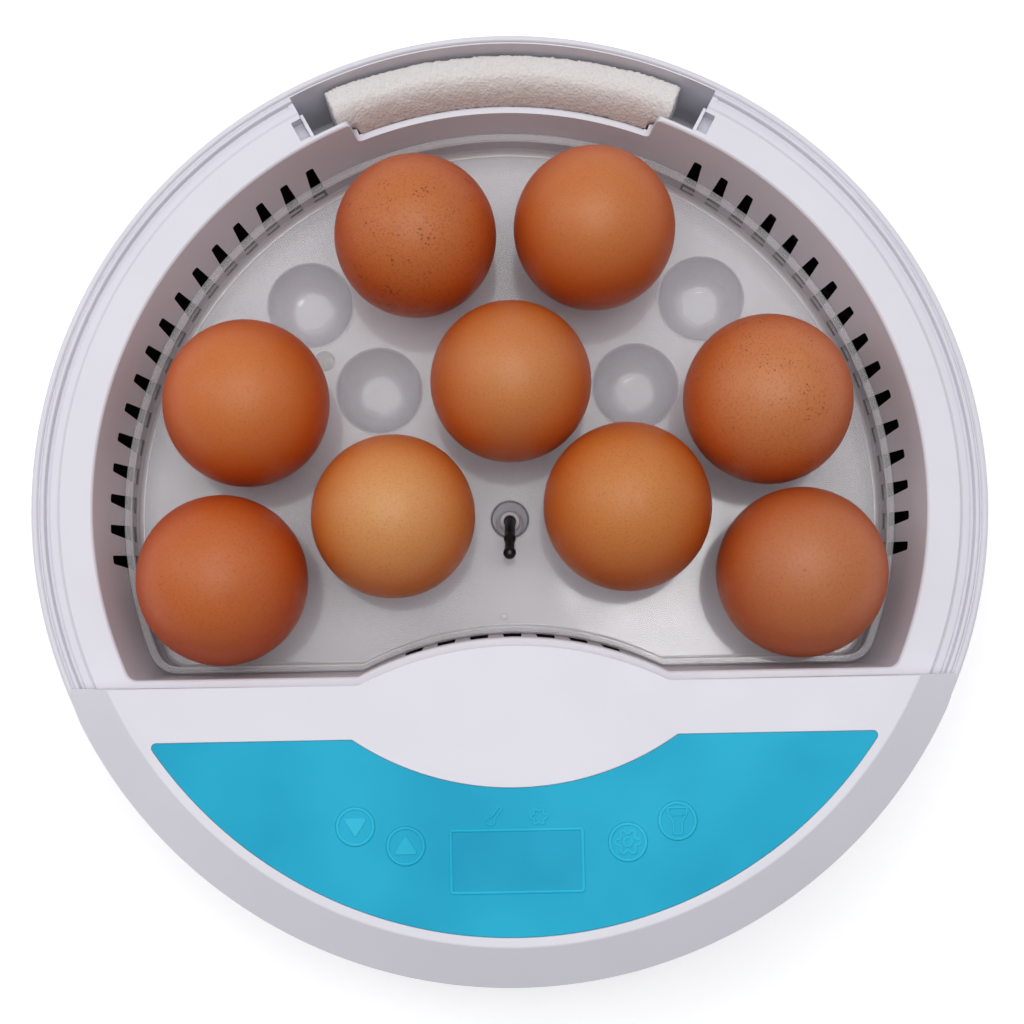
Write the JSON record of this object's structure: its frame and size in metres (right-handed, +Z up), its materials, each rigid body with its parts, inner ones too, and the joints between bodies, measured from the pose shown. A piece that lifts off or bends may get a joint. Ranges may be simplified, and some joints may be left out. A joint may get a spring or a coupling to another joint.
{
  "type": "egg incubator",
  "caption": "Round countertop egg incubator, lid off: clear cup tray with eggs, slotted round chamber, humidity sponge in a back pocket, and a front control panel with press keys.",
  "frame": {"origin": "centre of the round body, on the surface that the feet stand on", "axes": "+Z up, +Y from the control panel towards the sponge pocket, +X to the right of the panel"},
  "size_m": [0.25, 0.25, 0.0826],
  "materials": {
    "white_plastic": "cool white moulded plastic, satin",
    "blue_film": "sky blue overlay film, embossed",
    "clear_plastic": "clear thin plastic",
    "eggshell": "brown eggshell, matt with fine pores",
    "sponge": "cream-white fine-celled sponge",
    "black_plastic": "black, satin",
    "rubber": "dark grey rubber",
    "circuit_board": "green lacquered laminate",
    "steel": "plated steel",
    "ceramic": "unglazed, off-white",
    "grommet": "white silicone",
    "lead_sleeve": "red wire sleeve",
    "display": "dark display module"
  },
  "bodies": {
    "base": {"bottom_shell": "white_plastic", "upper_casing": "white_plastic", "control_housing": "white_plastic", "panel_overlay": "blue_film", "display_window": "blue_film", "led_display": "display", "control_board": "circuit_board", "switch_down": "black_plastic", "switch_up": "black_plastic", "switch_set": "black_plastic", "switch_light": "black_plastic", "fan_mount": "black_plastic", "heater_element": "steel", "heater_post_1": "ceramic", "heater_post_2": "ceramic", "heater_post_3": "ceramic", "sensor_probe": "black_plastic", "sensor_grommet": "grommet", "power_inlet": "black_plastic", "candling_lamp": "clear_plastic", "lamp_board": "circuit_board", "foot_1": "rubber", "foot_2": "rubber", "foot_3": "rubber", "foot_4": "rubber", "casing_screw_1": "steel", "casing_screw_2": "steel", "casing_screw_3": "steel", "casing_screw_4": "steel", "board_screw_1": "steel", "board_screw_2": "steel", "sensor_lead": "lead_sleeve", "heater_lead_left": "lead_sleeve", "heater_lead_right": "lead_sleeve", "fan_lead": "lead_sleeve", "lamp_lead": "lead_sleeve", "power_lead": "black_plastic"},
    "tray": {"egg_tray": "clear_plastic"},
    "egg_1": {"egg_1": "eggshell"},
    "egg_2": {"egg_2": "eggshell"},
    "egg_3": {"egg_3": "eggshell"},
    "egg_4": {"egg_4": "eggshell"},
    "egg_5": {"egg_5": "eggshell"},
    "egg_6": {"egg_6": "eggshell"},
    "egg_7": {"egg_7": "eggshell"},
    "egg_8": {"egg_8": "eggshell"},
    "egg_9": {"egg_9": "eggshell"},
    "sponge": {"sponge": "sponge"},
    "key_down": {"key_down": "blue_film", "plunger_down": "ceramic"},
    "key_up": {"key_up": "blue_film", "plunger_up": "ceramic"},
    "key_set": {"key_set": "blue_film", "plunger_set": "ceramic"},
    "key_light": {"key_light": "blue_film", "plunger_light": "ceramic"},
    "fan_rotor": {"fan_rotor": "black_plastic"}
  },
  "joints": [
    {"name": "tray_lift", "type": "slide", "parent": "base", "child": "tray", "axis": [0, 0, 1], "range_m": [0, 0.12], "deforming": ["sensor_probe"]},
    {"name": "egg_1_lift", "type": "slide", "parent": "tray", "child": "egg_1", "axis": [0, 0, 1], "range_m": [0, 0.1]},
    {"name": "egg_2_lift", "type": "slide", "parent": "tray", "child": "egg_2", "axis": [0, 0, 1], "range_m": [0, 0.1]},
    {"name": "egg_3_lift", "type": "slide", "parent": "tray", "child": "egg_3", "axis": [0, 0, 1], "range_m": [0, 0.1]},
    {"name": "egg_4_lift", "type": "slide", "parent": "tray", "child": "egg_4", "axis": [0, 0, 1], "range_m": [0, 0.1]},
    {"name": "egg_5_lift", "type": "slide", "parent": "tray", "child": "egg_5", "axis": [0, 0, 1], "range_m": [0, 0.1]},
    {"name": "egg_6_lift", "type": "slide", "parent": "tray", "child": "egg_6", "axis": [0, 0, 1], "range_m": [0, 0.1]},
    {"name": "egg_7_lift", "type": "slide", "parent": "tray", "child": "egg_7", "axis": [0, 0, 1], "range_m": [0, 0.1]},
    {"name": "egg_8_lift", "type": "slide", "parent": "tray", "child": "egg_8", "axis": [0, 0, 1], "range_m": [0, 0.1]},
    {"name": "egg_9_lift", "type": "slide", "parent": "tray", "child": "egg_9", "axis": [0, 0, 1], "range_m": [0, 0.1]},
    {"name": "sponge_lift", "type": "slide", "parent": "base", "child": "sponge", "axis": [0, 0, 1], "range_m": [0, 0.06]},
    {"name": "key_down_press", "type": "slide", "parent": "base", "child": "key_down", "axis": [0, 0, -1], "range_m": [0, 0.0005], "stiffness_N_per_m": 2000},
    {"name": "key_up_press", "type": "slide", "parent": "base", "child": "key_up", "axis": [0, 0, -1], "range_m": [0, 0.0005], "stiffness_N_per_m": 2000},
    {"name": "key_set_press", "type": "slide", "parent": "base", "child": "key_set", "axis": [0, 0, -1], "range_m": [0, 0.0005], "stiffness_N_per_m": 2000},
    {"name": "key_light_press", "type": "slide", "parent": "base", "child": "key_light", "axis": [0, 0, -1], "range_m": [0, 0.0005], "stiffness_N_per_m": 2000},
    {"name": "fan_spin", "type": "hinge", "parent": "base", "child": "fan_rotor", "pos_m": [0, 0.04, 0.009], "axis": [0, 0, 1], "continuous": true}
  ]
}
